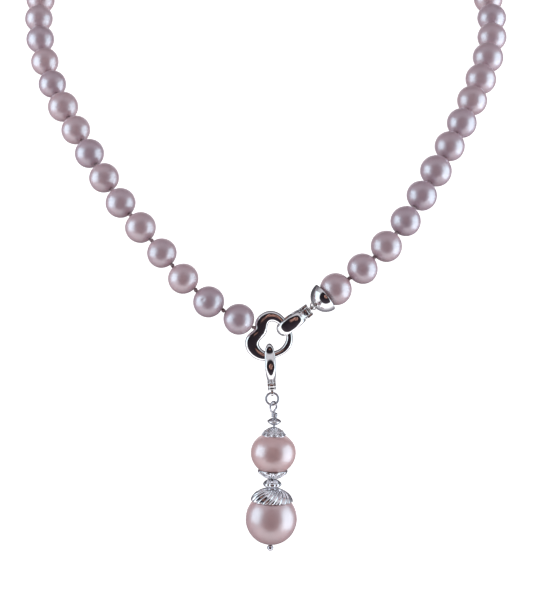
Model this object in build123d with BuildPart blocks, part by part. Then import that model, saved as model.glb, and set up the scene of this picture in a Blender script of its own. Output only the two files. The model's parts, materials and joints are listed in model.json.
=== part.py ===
"""Knotted pearl necklace with a ring-and-hook clasp and a clip-on two-pearl pendant.

Millimetres. X is to the right as seen from the front, +Y goes towards the back of the neck, +Z is up.
The origin is the middle of the thread at the nape, where the necklace hangs.
"""

import math
import os
from dataclasses import dataclass

from build123d import *

os.makedirs("parts", exist_ok=True)

# ---------------------------------------------------------------- driving dimensions
# The strand's route as it is worn: from the clasp ring up the left side, round the nape,
# and down the right side to the cup that carries the hook.
left_route = [
    (-3.1, -125.1, -107.9),
    (-7.2, -124.9, -106.2),
    (-15.4, -124.7, -101.9),
    (-27.3, -121.7, -89.2),
    (-38.2, -115.5, -77.1),
    (-47.2, -106.2, -64.4),
    (-54.9, -95.9, -52.9),
    (-61.0, -84.2, -41.2),
    (-64.0, -70.3, -28.2),
]
nape_route = [
    (-60.0, -43.0, -13.0),
    (-45.0, -19.0, -5.0),
    (-24.0, -5.0, -1.0),
    (0.0, 0.0, 0.0),
    (24.0, -5.0, -1.0),
    (45.0, -19.0, -5.0),
    (60.0, -41.0, -13.0),
]
right_route = [
    (63.8, -56.6, -24.7),
    (63.4, -70.8, -34.9),
    (59.2, -83.4, -45.2),
    (53.4, -95.6, -56.0),
    (45.0, -107.4, -69.3),
    (36.5, -116.5, -81.8),
    (25.2, -121.9, -93.5),
    (17.7, -123.5, -98.3),
    (14.7, -124.3, -101.0),
]

# Pearl lengths along the thread, from the clasp upwards. They are matched by eye, not all alike.
left_pearls = [8.2, 8.2, 8.0, 7.8, 8.2, 7.9, 7.9, 7.8, 7.8, 8.2, 7.6, 7.6, 7.7, 7.7]
right_pearls = [8.4, 8.0, 8.3, 8.1, 8.0, 8.4, 8.1, 8.2, 8.2, 8.4, 8.4, 8.2, 8.1, 8.1]
left_gap = 1.03
right_gap = 0.78
nape_pearl = 7.9
nape_gap = 0.8
bore_radius = 0.45

# Silk
knot_radius = 0.58
thread_radius = 0.25
running_gap = 0.03

# Clasp ring, free form, seen from the front: (x, z) from the clasp's own origin
clasp_y = -125.0
clasp_z = -103.0
ring_outer = [
    (-3.0, -4.9), (-2.6, -3.0), (-1.2, -1.6), (0.8, -0.9), (3.1, -1.4), (5.0, -3.1), (6.3, -5.2),
    (6.9, -7.6), (6.7, -9.9), (5.4, -11.8), (2.9, -13.2), (-0.6, -14.2), (-3.5, -13.3),
    (-5.4, -11.0), (-5.6, -8.8), (-4.6, -7.0),
]
ring_inner = [
    (0.2, -5.4), (1.4, -3.7), (2.7, -4.1), (4.2, -5.7), (5.2, -7.6), (4.8, -9.4), (3.6, -10.9),
    (1.8, -11.7), (0.0, -11.8), (-1.3, -11.0), (-2.0, -9.6), (-0.8, -7.8),
]
ring_depth = 2.2
ring_rounding = 0.6
ring_knot_radius = 0.42
ring_peg_radius = 0.27
ring_peg_length = 1.2

# Cup on the last right pearl: a thin half-ball with a flat lip
cup_radius = 4.05
cup_wall = 0.6
cup_centre_offset = 3.4
cup_rim_offset = 3.4
cup_lip = 0.5
cup_hole_tilt = 46
cup_hole_radius = 0.42
cup_bail_radius = 0.95
cup_bail_wire = 0.2
cup_bail_sink = 0.1
end_knot_radius = 0.5

# Both hinged clips: hinge parts
hinge_pin_radius = 0.4
knuckle_radius = 0.95
knuckle_half = 0.55
hinge_clearance = 0.05
leaf_gap = 0.05
gate_bore_clearance = 0.03
tail_block_start = 0.5
tail_block_depth = 1.5
gate_web_length = 1.3
gate_web_depth = 0.8

# Both hinged clips: points of their outlines, measured along the clip from the pin
shoulder_from_pin = 1.3
tail_from_pin = 0.8
leaf_wall = 0.85
opening_heel_from_pin = 1.45
opening_rise_from_pin = 2.1
opening_rise = 0.75
face_step = 1.0
face_overhang = 0.05

# Longer than any clip, for cutting one in half
clip_reach = 40


@dataclass
class ClipSize:
    """A hinged clip: distances along it are from its tail eye, shares are of its half depth or width."""

    length: float
    pin_at: float
    middle_at: float
    nose_at: float
    nose_inner: float
    depth: float
    nose_share: float
    shoulder_share: float
    width: float
    face_nose_share: float
    face_pin_share: float
    face_tail_share: float
    cheek_share: float
    eye_hole: float
    eye_outer: float
    eye_half: float


# Hook on the strand's right end
hook_tilt = 216.5
hook_size = ClipSize(
    length=10.95,
    pin_at=1.75,
    middle_at=5.6,
    nose_at=8.46,
    nose_inner=1.55,
    depth=5.2,
    nose_share=0.93,
    shoulder_share=0.78,
    width=3.8,
    face_nose_share=0.44,
    face_pin_share=0.48,
    face_tail_share=0.44,
    cheek_share=0.44,
    eye_hole=0.42,
    eye_outer=0.75,
    eye_half=0.4,
)

# Enhancer clip on the ring's bottom wire, which carries the pendant
enhancer_eye = (1.5, -22.65)
enhancer_hang = (0.9, -12.75)
enhancer_size = ClipSize(
    length=13.12,
    pin_at=2.0,
    middle_at=6.5,
    nose_at=9.92,
    nose_inner=1.75,
    depth=7.0,
    nose_share=0.7,
    shoulder_share=0.62,
    width=2.9,
    face_nose_share=0.41,
    face_pin_share=0.45,
    face_tail_share=0.36,
    cheek_share=0.38,
    eye_hole=0.6,
    eye_outer=0.95,
    eye_half=0.35,
)

# Jump ring
jump_centre = (1.5, -24.4)
jump_radius = 1.6
jump_wire = 0.32

# Pendant: it leans a little, all its beads turn on the head pin's shaft
pin_foot = (1.0, -64.7)
pin_lean = 1.75
pin_radius = 0.3
pin_ball_radius = 0.85
pin_shaft = 36.9
wrap_radius = 0.52
wrap_wire = 0.27
wrap_bottom = 35.45
wrap_pitch = 0.5
wraps = 3
loop_centre = (1.75, -26.5)
loop_radius = 1.35
loop_wire = 0.28
loop_turn = 50
bead_bore = 0.36
lower_pearl_at = 7.95
lower_pearl_half_height = 7.05
lower_pearl_radius = 6.8
upper_pearl_at = 25.6
upper_pearl_half_height = 5.6
upper_pearl_radius = 5.95
pendant_pearl_bore = 0.5


# ---------------------------------------------------------------- strand
def along_route(distance):
    """The point of the strand's route at a distance from its start at the clasp ring."""
    return route.position_at(distance, position_mode=PositionMode.LENGTH)


def knot_places(start, steps):
    """Knots at the start and after each step along the route."""
    places = [along_route(start)]
    for step in steps:
        start += step
        places.append(along_route(start))
    return places


def strung_pearl(first, second, gap):
    """One drilled pearl, on the straight thread between two knots."""
    thread = second - first
    with BuildPart(Plane(origin=(first + second) / 2, z_dir=thread)) as pearl:
        Sphere((thread.length - gap) / 2)
        Cylinder(bore_radius, thread.length, mode=Mode.SUBTRACT)
    return pearl.part


def knot_and_thread(knot, end, short_by):
    """A knot with the thread below it, which stops short of the next knot's centre."""
    thread = end - knot
    length = thread.length - short_by
    with BuildPart(Plane(origin=knot, z_dir=thread)) as span:
        Sphere(knot_radius)
        Cylinder(thread_radius, length, align=(Align.CENTER, Align.CENTER, Align.MIN))
    return span.part


def save(built, name):
    """Label a finished piece and write it under its name."""
    built.part.label = name
    export_step(built.part, f"parts/{name}.step")


with BuildLine() as strand_line:
    Spline(*left_route, *nape_route, *right_route)
route = strand_line.edges()[0]

left_knots = knot_places(0, [size + left_gap for size in left_pearls])
right_start = route.length
right_knots = knot_places(right_start, [-(size + right_gap) for size in right_pearls])
rows = len(left_pearls)

nape_first = sum(left_pearls) + rows * left_gap
nape_last = route.length - sum(right_pearls) - rows * right_gap
nape_count = round((nape_last - nape_first) / (nape_pearl + nape_gap))
nape_step = (nape_last - nape_first) / nape_count
nape_knots = knot_places(nape_first, [nape_step] * nape_count)
print(f"route {route.length:.1f} mm, {2 * rows + nape_count} strand pearls")

# Row 1 hangs from the nape pearls, the last row is next to the clasp.
silk_clearance = knot_radius + running_gap
for row in range(1, rows + 1):
    upper = rows + 1 - row
    lower = upper - 1
    left = strung_pearl(left_knots[upper], left_knots[lower], left_gap)
    right = strung_pearl(right_knots[upper], right_knots[lower], right_gap)
    with BuildPart() as pearls:
        add(left)
        add(right)
    save(pearls, f"pearls_row_{row:02d}")
    if row < rows:
        left_thread = knot_and_thread(left_knots[upper], left_knots[lower], silk_clearance)
        right_thread = knot_and_thread(right_knots[upper], right_knots[lower], silk_clearance)
        with BuildPart() as silk:
            add(left_thread)
            add(right_thread)
        save(silk, f"silk_row_{row:02d}")

nape_pearls = [strung_pearl(a, b, nape_gap) for a, b in zip(nape_knots, nape_knots[1:])]
third = nape_count // 3
nape_groups = {
    "nape_pearls_left": nape_pearls[:third],
    "nape_pearls_back": nape_pearls[third : nape_count - third],
    "nape_pearls_right": nape_pearls[nape_count - third :],
}
for group_name, group in nape_groups.items():
    with BuildPart() as nape_group:
        for one_pearl in group:
            add(one_pearl)
    save(nape_group, group_name)

with BuildPart() as nape_silk:
    for first, second in zip(nape_knots[1:-2], nape_knots[2:-1]):
        add(knot_and_thread(first, second, 0))
    add(knot_and_thread(nape_knots[-2], nape_knots[-1], silk_clearance))
    add(knot_and_thread(nape_knots[1], nape_knots[0], silk_clearance))
save(nape_silk, "nape_silk")

# ---------------------------------------------------------------- clasp ring and its knot
front_plane = Plane(origin=(0, clasp_y, clasp_z), x_dir=(1, 0, 0), z_dir=(0, -1, 0))
ring_anchor = left_knots[0]
peg_direction = left_knots[0] - left_knots[1]
peg_plane = Plane(origin=ring_anchor, z_dir=peg_direction)

with BuildPart() as clasp_ring:
    with BuildSketch(front_plane):
        with BuildLine():
            Spline(*ring_outer, periodic=True)
        make_face()
        with BuildLine():
            Spline(*ring_inner, periodic=True)
        make_face(mode=Mode.SUBTRACT)
    extrude(amount=ring_depth / 2, both=True)
    front_and_back = clasp_ring.faces().filter_by(Axis.Y)
    fillet(front_and_back.edges(), radius=ring_rounding)
    with Locations(peg_plane.location):
        Sphere(ring_knot_radius + running_gap, mode=Mode.SUBTRACT)
        Cylinder(
            ring_peg_radius + running_gap,
            ring_peg_length + running_gap,
            align=(Align.CENTER, Align.CENTER, Align.MIN),
            mode=Mode.SUBTRACT,
        )
save(clasp_ring, "clasp_ring")

with BuildPart(peg_plane) as ring_knot:
    Sphere(ring_knot_radius)
    Cylinder(ring_peg_radius, ring_peg_length, align=(Align.CENTER, Align.CENTER, Align.MIN))
save(ring_knot, "ring_knot")

# ---------------------------------------------------------------- cup and the silk of the last row
cup_axis = (right_knots[0] - right_knots[1]).normalized()
last_pearl_centre = (right_knots[0] + right_knots[1]) / 2
last_pearl_half = right_pearls[0] / 2
seat_radius = math.sqrt(last_pearl_half**2 - cup_rim_offset**2)
cup_pole_offset = cup_centre_offset + cup_radius
hook_anchor = last_pearl_centre + cup_axis * (cup_pole_offset - cup_bail_sink + cup_bail_radius)
towards_front = Vector(0, -1, 0)
cup_side = cup_axis.cross(towards_front).normalized()
# Half of the cup's section: x runs along its axis from the pearl's centre, y is its radius
cup_section = Plane(origin=last_pearl_centre, x_dir=cup_axis, z_dir=cup_side)

# The silk leaves the cup beside the pole, on the front
mouth = last_pearl_centre + cup_axis * (last_pearl_half + right_gap / 2)
hole_radians = math.radians(cup_hole_tilt)
cup_centre = last_pearl_centre + cup_axis * cup_centre_offset
hole_direction = cup_axis * math.cos(hole_radians) + cup_section.y_dir * math.sin(hole_radians)
end_knot_place = cup_centre + hole_direction * (cup_radius + 0.4 * end_knot_radius)
exit_direction = (end_knot_place - mouth).normalized()
exit_length = (end_knot_place - mouth).length

with BuildPart() as end_cup:
    with BuildSketch(cup_section):
        with Locations((cup_centre_offset, 0)):
            Circle(cup_radius)
            Circle(cup_radius - cup_wall, mode=Mode.SUBTRACT)
        with Locations((cup_rim_offset, 0)):
            Rectangle(cup_lip, 2 * (cup_radius - cup_wall / 2), align=(Align.MIN, Align.CENTER))
        with Locations((cup_rim_offset, seat_radius + running_gap)):
            Rectangle(cup_lip, 2 * cup_radius, align=(Align.MIN, Align.MAX), mode=Mode.SUBTRACT)
        with Locations((cup_rim_offset, 0)):
            Rectangle(2 * cup_radius, cup_radius + 1, align=(Align.MIN, Align.MIN), mode=Mode.INTERSECT)
    revolve(axis=Axis(last_pearl_centre, cup_axis))
    with BuildSketch(Plane(origin=mouth, z_dir=exit_direction)):
        Circle(cup_hole_radius)
    extrude(amount=2 * exit_length, mode=Mode.SUBTRACT)
    with Locations(end_knot_place):
        Sphere(end_knot_radius + running_gap, mode=Mode.SUBTRACT)

bail_plane = Plane(
    origin=hook_anchor - cup_axis * cup_bail_radius, x_dir=cup_axis, z_dir=cup_axis.cross(cup_side)
)
with BuildPart(bail_plane) as cup_bail:
    Torus(cup_bail_radius, cup_bail_wire)
    with Locations((cup_bail_sink - cup_radius, 0, 0)):
        Sphere(cup_radius - 0.5 * cup_wall, mode=Mode.SUBTRACT)

with BuildPart() as cup_with_bail:
    add(end_cup.part)
    add(cup_bail.part.solids().sort_by(SortBy.VOLUME)[-1])
save(cup_with_bail, "end_cup")

left_thread = knot_and_thread(left_knots[1], left_knots[0], ring_knot_radius + running_gap)
right_thread = knot_and_thread(right_knots[1], mouth, 0)
with BuildPart() as last_silk:
    add(left_thread)
    add(right_thread)
    with Locations(mouth):
        Sphere(thread_radius)
    with Locations(end_knot_place):
        Sphere(end_knot_radius)
    with BuildSketch(Plane(origin=mouth, z_dir=exit_direction)):
        Circle(thread_radius)
    extrude(amount=exit_length)
save(last_silk, f"silk_row_{rows:02d}")


# ---------------------------------------------------------------- hinged clips
def mirrored_outline(nose, one_side, tail):
    """A closed outline from its nose down one side, round its tail and back up the other side."""
    other_side = [(at, -across) for at, across in reversed(one_side)]
    return [nose] + one_side + tail + other_side


def clip_outline(size):
    """Points of a clip's outer side outline: (distance from the eye, depth)."""
    half = size.depth / 2
    back = [(size.nose_at, -size.nose_share * half), (size.middle_at, -half)]
    back += [(size.pin_at + shoulder_from_pin, -size.shoulder_share * half)]
    back += [(size.pin_at, -knuckle_radius)]
    return mirrored_outline((size.length, 0), back, [(size.pin_at - tail_from_pin, 0)])


def clip_opening(size):
    """Points of the space inside a clip."""
    back = [(size.nose_at, -size.nose_inner), (size.middle_at, leaf_wall - size.depth / 2)]
    back += [(size.pin_at + opening_rise_from_pin, -opening_rise)]
    nose = (size.nose_at + size.nose_inner, 0)
    return mirrored_outline(nose, back, [(size.pin_at + opening_heel_from_pin, 0)])


def clip_face(size):
    """Points of a clip's outline as seen from the front: (distance from the eye, across)."""
    one_side = [(size.nose_at + face_step, size.face_nose_share * size.width)]
    one_side += [(size.middle_at + face_step, size.width / 2)]
    one_side += [(size.pin_at + face_step, size.face_pin_share * size.width)]
    one_side += [(size.pin_at - tail_from_pin, size.face_tail_share * size.width)]
    return mirrored_outline((size.length + face_overhang, 0), one_side, [])


def clip_leaf(side, face, size, front):
    """The front or the back half of a clip's oval, with no hinge parts."""
    keep = Align.MIN if front else Align.MAX
    shift = leaf_gap / 2 if front else -leaf_gap / 2
    face_outline = clip_face(size)
    with BuildPart() as leaf:
        with BuildSketch(side):
            with BuildLine():
                Spline(*clip_outline(size), periodic=True)
            make_face()
            with BuildLine():
                Spline(*clip_opening(size), periodic=True)
            make_face(mode=Mode.SUBTRACT)
            with Locations((0, shift)):
                Rectangle(clip_reach, clip_reach, align=(Align.CENTER, keep), mode=Mode.INTERSECT)
        extrude(amount=size.width, both=True)
        with BuildSketch(face):
            with BuildLine():
                Spline(*face_outline)
                Line(face_outline[-1], face_outline[0])
            make_face()
        extrude(amount=clip_reach, both=True, mode=Mode.INTERSECT)
    return leaf.part


def clip_back(side, leaf, size):
    """The fixed leaf of a clip, with its tail eye and the two outer hinge cheeks."""
    block_length = size.pin_at - tail_block_start
    with BuildPart() as back:
        add(leaf)
        with BuildSketch(side):
            with Locations((size.pin_at, 0)):
                Circle(knuckle_radius)
                Rectangle(block_length, tail_block_depth, align=(Align.MAX, Align.CENTER))
        extrude(amount=size.cheek_share * size.width, both=True)
        with BuildSketch(side):
            Circle(size.eye_outer)
        extrude(amount=size.eye_half, both=True)
        with BuildSketch(side):
            Circle(size.eye_hole)
        extrude(amount=size.width, both=True, mode=Mode.SUBTRACT)
        with BuildSketch(side):
            with Locations((size.pin_at, 0)):
                Circle(knuckle_radius + hinge_clearance)
        extrude(amount=knuckle_half + hinge_clearance, both=True, mode=Mode.SUBTRACT)
        with BuildSketch(side):
            with Locations((size.pin_at, 0)):
                Circle(hinge_pin_radius)
        extrude(amount=size.width, both=True, mode=Mode.SUBTRACT)
    return back


def clip_gate(side, leaf, size):
    """The leaf that opens, with the middle hinge knuckle."""
    with BuildPart() as gate:
        add(leaf)
        with BuildSketch(side):
            with Locations((size.pin_at, 0)):
                Rectangle(clip_reach, clip_reach, align=(Align.MIN, Align.CENTER))
        extrude(amount=size.width, both=True, mode=Mode.INTERSECT)
        with BuildSketch(side):
            with Locations((size.pin_at, 0)):
                Circle(knuckle_radius + hinge_clearance)
        extrude(amount=size.width, both=True, mode=Mode.SUBTRACT)
        with BuildSketch(side):
            with Locations((size.pin_at, 0)):
                Circle(knuckle_radius)
                Rectangle(gate_web_length, gate_web_depth, align=(Align.MIN, Align.MIN))
        extrude(amount=knuckle_half, both=True)
        with BuildSketch(side):
            with Locations((size.pin_at, 0)):
                Circle(hinge_pin_radius + gate_bore_clearance)
        extrude(amount=size.width, both=True, mode=Mode.SUBTRACT)
    return gate


def clip_pin(side, size):
    """The hinge pin, flush with the cheeks."""
    with BuildPart() as pin:
        with BuildSketch(side):
            with Locations((size.pin_at, 0)):
                Circle(hinge_pin_radius)
        extrude(amount=size.cheek_share * size.width, both=True)
    return pin


def make_clip(name, eye_place, nose_direction, size):
    """Write the three pieces of one hinged clip."""
    across = nose_direction.cross(towards_front)
    side = Plane(origin=eye_place, x_dir=nose_direction, z_dir=across)
    face = Plane(origin=eye_place, x_dir=nose_direction, z_dir=towards_front)
    back_leaf = clip_leaf(side, face, size, front=False)
    front_leaf = clip_leaf(side, face, size, front=True)
    save(clip_back(side, back_leaf, size), f"{name}_body")
    save(clip_gate(side, front_leaf, size), f"{name}_gate")
    save(clip_pin(side, size), f"{name}_hinge_pin")
    pin_place = eye_place + nose_direction * size.pin_at
    print(f"{name} eye {eye_place} pin {pin_place} pin axis {across}")


hook_radians = math.radians(hook_tilt)
hook_direction = Vector(math.cos(hook_radians), 0, math.sin(hook_radians))
make_clip("hook", hook_anchor, hook_direction, hook_size)

enhancer_eye_place = front_plane.from_local_coords(Vector(*enhancer_eye))
enhancer_hang_place = front_plane.from_local_coords(Vector(*enhancer_hang))
enhancer_direction = (enhancer_hang_place - enhancer_eye_place).normalized()
make_clip("enhancer", enhancer_eye_place, enhancer_direction, enhancer_size)

# ---------------------------------------------------------------- jump ring
jump_place = front_plane.from_local_coords(Vector(*jump_centre))
with BuildPart(Plane(origin=jump_place, z_dir=towards_front)) as jump_ring:
    Torus(jump_radius, jump_wire)
save(jump_ring, "jump_ring")

# ---------------------------------------------------------------- pendant on its head pin
lean = math.radians(pin_lean)
pin_up = Vector(math.sin(lean), 0, math.cos(lean))
pin_place = front_plane.from_local_coords(Vector(*pin_foot))
pin_plane = Plane(origin=pin_place, x_dir=Vector(math.cos(lean), 0, -math.sin(lean)), z_dir=pin_up)
pin_axis = Axis(pin_place, pin_up)
# Half sections of the beads: x is the radius, y the height above the head pin's ball
bead_section = Plane(origin=pin_place, x_dir=pin_plane.x_dir, z_dir=Vector(0, -1, 0))
print(f"pendant pin {pin_place} up {pin_up}")

loop_place = front_plane.from_local_coords(Vector(*loop_centre))
turn = math.radians(loop_turn)
with BuildPart(pin_plane) as head_pin:
    Sphere(pin_ball_radius)
    Cylinder(pin_radius, pin_shaft, align=(Align.CENTER, Align.CENTER, Align.MIN))
    for wrap in range(wraps):
        with Locations((0, 0, wrap_bottom + wrap * wrap_pitch)):
            Torus(wrap_radius, wrap_wire)

with BuildPart(Plane(origin=loop_place, z_dir=(math.sin(turn), -math.cos(turn), 0))) as pin_loop:
    Torus(loop_radius, loop_wire)

with BuildPart() as looped_pin:
    add(head_pin.part)
    add(pin_loop.part)
save(looped_pin, "head_pin")


def turned_bead(name, section):
    """A bead or cap turned about the head pin from the (radius, height) corners of its half section."""
    with BuildPart() as bead:
        with BuildSketch(bead_section):
            with BuildLine():
                Polyline(*section, close=True)
            make_face()
        revolve(axis=pin_axis)
    save(bead, name)


def pendant_pearl(name, height, half_height, radius):
    """A large drilled pearl on the head pin."""
    with BuildPart() as pearl:
        with BuildSketch(bead_section):
            with Locations((0, height)):
                Ellipse(radius, half_height)
            with Locations((pendant_pearl_bore, height)):
                Rectangle(radius, 3 * half_height, align=(Align.MIN, Align.CENTER), mode=Mode.INTERSECT)
        revolve(axis=pin_axis)
    save(pearl, name)


pendant_pearl("lower_pearl", lower_pearl_at, lower_pearl_half_height, lower_pearl_radius)
pendant_pearl("upper_pearl", upper_pearl_at, upper_pearl_half_height, upper_pearl_radius)

turned_bead(
    "swirl_cap",
    [
        (bead_bore, 15.05), (1.0, 15.05), (1.6, 15.3), (3.4, 14.7), (4.6, 13.9), (5.2, 13.0),
        (5.45, 13.3), (4.8, 14.6), (3.6, 15.5), (1.9, 16.1), (bead_bore, 16.15),
    ],
)
turned_bead(
    "middle_bead",
    [(bead_bore, 16.25), (1.2, 16.3), (2.35, 17.2), (1.2, 18.5), (bead_bore, 18.6)],
)
turned_bead(
    "upper_pearl_bottom_cap",
    [
        (bead_bore, 18.7), (1.2, 18.75), (2.6, 19.3), (3.9, 20.9), (3.75, 21.1), (2.4, 20.0),
        (1.0, 19.5), (bead_bore, 19.5),
    ],
)
turned_bead(
    "upper_pearl_top_cap",
    [
        (bead_bore, 31.35), (1.0, 31.35), (2.2, 31.05), (3.1, 30.55), (3.25, 30.75), (2.5, 31.7),
        (1.3, 32.6), (bead_bore, 32.7),
    ],
)
turned_bead(
    "top_rondelle",
    [(bead_bore, 33.25), (0.9, 33.35), (1.85, 34.35), (0.9, 35.1), (bead_bore, 35.15)],
)
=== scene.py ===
"""Looks of the knotted pearl necklace with its ring-and-hook clasp and clip-on pendant.

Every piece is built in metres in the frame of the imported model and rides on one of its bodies.
"""

import json
import math

import bmesh
import bpy
import numpy as np
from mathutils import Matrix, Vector, noise
from mathutils.bvhtree import BVHTree

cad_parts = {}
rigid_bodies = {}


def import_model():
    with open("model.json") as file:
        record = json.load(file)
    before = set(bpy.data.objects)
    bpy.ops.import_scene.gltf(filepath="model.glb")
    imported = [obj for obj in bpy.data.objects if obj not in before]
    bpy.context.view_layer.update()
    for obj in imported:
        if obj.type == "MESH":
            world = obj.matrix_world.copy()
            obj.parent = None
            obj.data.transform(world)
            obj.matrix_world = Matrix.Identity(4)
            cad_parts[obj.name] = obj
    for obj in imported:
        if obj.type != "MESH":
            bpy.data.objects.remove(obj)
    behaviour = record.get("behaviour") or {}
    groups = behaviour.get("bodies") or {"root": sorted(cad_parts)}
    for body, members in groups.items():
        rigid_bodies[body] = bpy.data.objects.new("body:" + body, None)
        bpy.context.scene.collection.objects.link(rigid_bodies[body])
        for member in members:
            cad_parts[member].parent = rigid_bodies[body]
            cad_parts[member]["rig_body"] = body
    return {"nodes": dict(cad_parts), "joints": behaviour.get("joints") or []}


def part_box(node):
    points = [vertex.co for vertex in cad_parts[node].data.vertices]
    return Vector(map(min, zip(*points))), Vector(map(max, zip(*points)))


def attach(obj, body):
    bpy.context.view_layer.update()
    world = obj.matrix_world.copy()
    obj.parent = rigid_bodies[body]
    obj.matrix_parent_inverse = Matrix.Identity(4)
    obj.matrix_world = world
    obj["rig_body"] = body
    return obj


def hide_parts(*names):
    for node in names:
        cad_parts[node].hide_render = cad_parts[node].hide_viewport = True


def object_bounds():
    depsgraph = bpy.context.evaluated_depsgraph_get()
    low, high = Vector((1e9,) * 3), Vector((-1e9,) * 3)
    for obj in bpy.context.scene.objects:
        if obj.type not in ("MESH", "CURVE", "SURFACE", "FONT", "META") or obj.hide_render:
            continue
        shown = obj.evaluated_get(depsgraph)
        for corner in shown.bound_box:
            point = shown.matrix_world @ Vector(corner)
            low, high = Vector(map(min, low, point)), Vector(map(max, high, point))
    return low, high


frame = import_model()
cad_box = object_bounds()

MM = 0.001
FRONT = np.array([0.0, -1.0, 0.0])
UP = np.array([0.0, 0.0, 1.0])
joints = {joint["name"]: joint for joint in frame["joints"]}


# ---------------------------------------------------------------- reading the frame
def unit(vector):
    """The vector at length one."""
    return np.asarray(vector, float) / np.linalg.norm(vector)


def points_of(node):
    """The vertices of a CAD node."""
    return np.array([vertex.co for vertex in frame["nodes"][node].data.vertices])


def loose_parts(node, weld=1e-7):
    """The vertices of each separate solid of a CAD node."""
    mesh = bmesh.new()
    mesh.from_mesh(frame["nodes"][node].data)
    bmesh.ops.remove_doubles(mesh, verts=mesh.verts, dist=weld)
    seen = set()
    parts = []
    for first in mesh.verts:
        if first in seen:
            continue
        seen.add(first)
        queue = [first]
        part = []
        while queue:
            vertex = queue.pop()
            part.append(tuple(vertex.co))
            for edge in vertex.link_edges:
                other = edge.other_vert(vertex)
                if other not in seen:
                    seen.add(other)
                    queue.append(other)
        parts.append(np.array(part))
    mesh.free()
    return parts


def ball_of(points):
    """Centre and mean radius of a nearly round part."""
    low, high = points.min(0), points.max(0)
    return (low + high) / 2, float((high - low).mean()) / 2


# ---------------------------------------------------------------- shapes as (points, faces)
def square_to(direction):
    """Two directions at right angles to the given one and to each other."""
    direction = unit(direction)
    helper = UP if abs(direction[2]) < 0.9 else np.array([1.0, 0.0, 0.0])
    first = unit(np.cross(helper, direction))
    return first, np.cross(direction, first)


def smooth_line(points, count, closed=False):
    """Evenly spread points on a smooth curve through the given ones."""
    points = np.asarray(points, float)
    if closed:
        lead = min(4, len(points))
        points = np.vstack([points[-lead:], points, points[: lead + 1]])
    chord = np.concatenate([[0], np.cumsum(np.linalg.norm(np.diff(points, axis=0), axis=1))])
    n = len(points)
    system = np.eye(n)
    right = np.zeros_like(points)
    for i in range(1, n - 1):
        before, after = chord[i] - chord[i - 1], chord[i + 1] - chord[i]
        system[i, i - 1 : i + 2] = before, 2 * (before + after), after
        right[i] = 6 * ((points[i + 1] - points[i]) / after - (points[i] - points[i - 1]) / before)
    bend = np.linalg.solve(system, right)
    start, end = (chord[lead], chord[n - 1 - lead]) if closed else (0.0, chord[-1])
    fine = np.linspace(start, end, 12 * count)
    span = np.clip(np.searchsorted(chord, fine, side="right") - 1, 0, n - 2)
    width = (chord[span + 1] - chord[span])[:, None]
    left, far = (fine - chord[span])[:, None], (chord[span + 1] - fine)[:, None]
    curve = (bend[span] * far**3 + bend[span + 1] * left**3) / (6 * width)
    curve += (points[span] / width - bend[span] * width / 6) * far
    curve += (points[span + 1] / width - bend[span + 1] * width / 6) * left
    run = np.concatenate([[0], np.cumsum(np.linalg.norm(np.diff(curve, axis=0), axis=1))])
    even = np.linspace(0, run[-1], count + 1 if closed else count)
    line = np.stack([np.interp(even, run, curve[:, k]) for k in range(curve.shape[1])], axis=1)
    return line[:-1] if closed else line


def join(*shapes):
    """Several shapes as one."""
    points = []
    faces = []
    for shape_points, shape_faces in shapes:
        start = sum(len(p) for p in points)
        points.append(np.asarray(shape_points))
        faces += [[index + start for index in face] for face in shape_faces]
    return np.vstack(points), faces


def skin(rings, around=False, first_cap=True, last_cap=True):
    """Faces over a row of closed rings. Around joins the last ring to the first, and otherwise both
    ends are closed."""
    count = len(rings[0])
    points = [np.asarray(ring) for ring in rings]
    faces = []
    steps = len(rings) if around else len(rings) - 1
    for i in range(steps):
        here, there = i * count, ((i + 1) % len(rings)) * count
        for k in range(count):
            after = (k + 1) % count
            faces.append([here + k, here + after, there + after, there + k])
    total = len(rings) * count
    if not around:
        for ring, base, wanted in ((rings[0], 0, first_cap), (rings[-1], total - count, last_cap)):
            if not wanted:
                continue
            points.append(np.mean(ring, axis=0)[None])
            hub = sum(len(p) for p in points) - 1
            faces += [[base + k, base + (k + 1) % count, hub] for k in range(count)]
    return np.vstack(points), faces


def wire(path, radius, closed=False, sides=12):
    """A round wire along a path. The radius may change along it, and open ends are domed."""
    path = np.asarray(path, float)
    n = len(path)
    radii = np.broadcast_to(np.asarray(radius, float), (n,)).copy()
    if closed:
        tangent = np.roll(path, -1, axis=0) - np.roll(path, 1, axis=0)
    else:
        tangent = np.gradient(path, axis=0)
    tangent /= np.linalg.norm(tangent, axis=1)[:, None]
    side = square_to(tangent[0])[0]
    sides_of = []
    for i in range(n):
        side = unit(side - tangent[i] * np.dot(side, tangent[i]))
        sides_of.append(side)
    twist = 0.0
    if closed:
        back = unit(sides_of[-1] - tangent[0] * np.dot(sides_of[-1], tangent[0]))
        across = np.dot(np.cross(back, sides_of[0]), tangent[0])
        twist = math.atan2(across, np.dot(back, sides_of[0]))
    turn = np.linspace(0, 2 * math.pi, sides, endpoint=False)
    rings = []
    for i in range(n):
        angle = turn + twist * i / n
        other = np.cross(tangent[i], sides_of[i])
        ring = np.outer(np.cos(angle), sides_of[i]) + np.outer(np.sin(angle), other)
        rings.append((path[i], tangent[i], ring, radii[i]))
    if closed:
        return skin([place + ring * r for place, _, ring, r in rings], around=True)
    domes = (0.35, 0.7, 0.93)
    made = []
    place, direction, ring, r = rings[0]
    made += [place - direction * r * math.sqrt(1 - d * d) + ring * r * d for d in domes]
    made += [place + ring * r for place, _, ring, r in rings]
    place, direction, ring, r = rings[-1]
    made += [place + direction * r * math.sqrt(1 - d * d) + ring * r * d for d in reversed(domes)]
    return skin(made)


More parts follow.
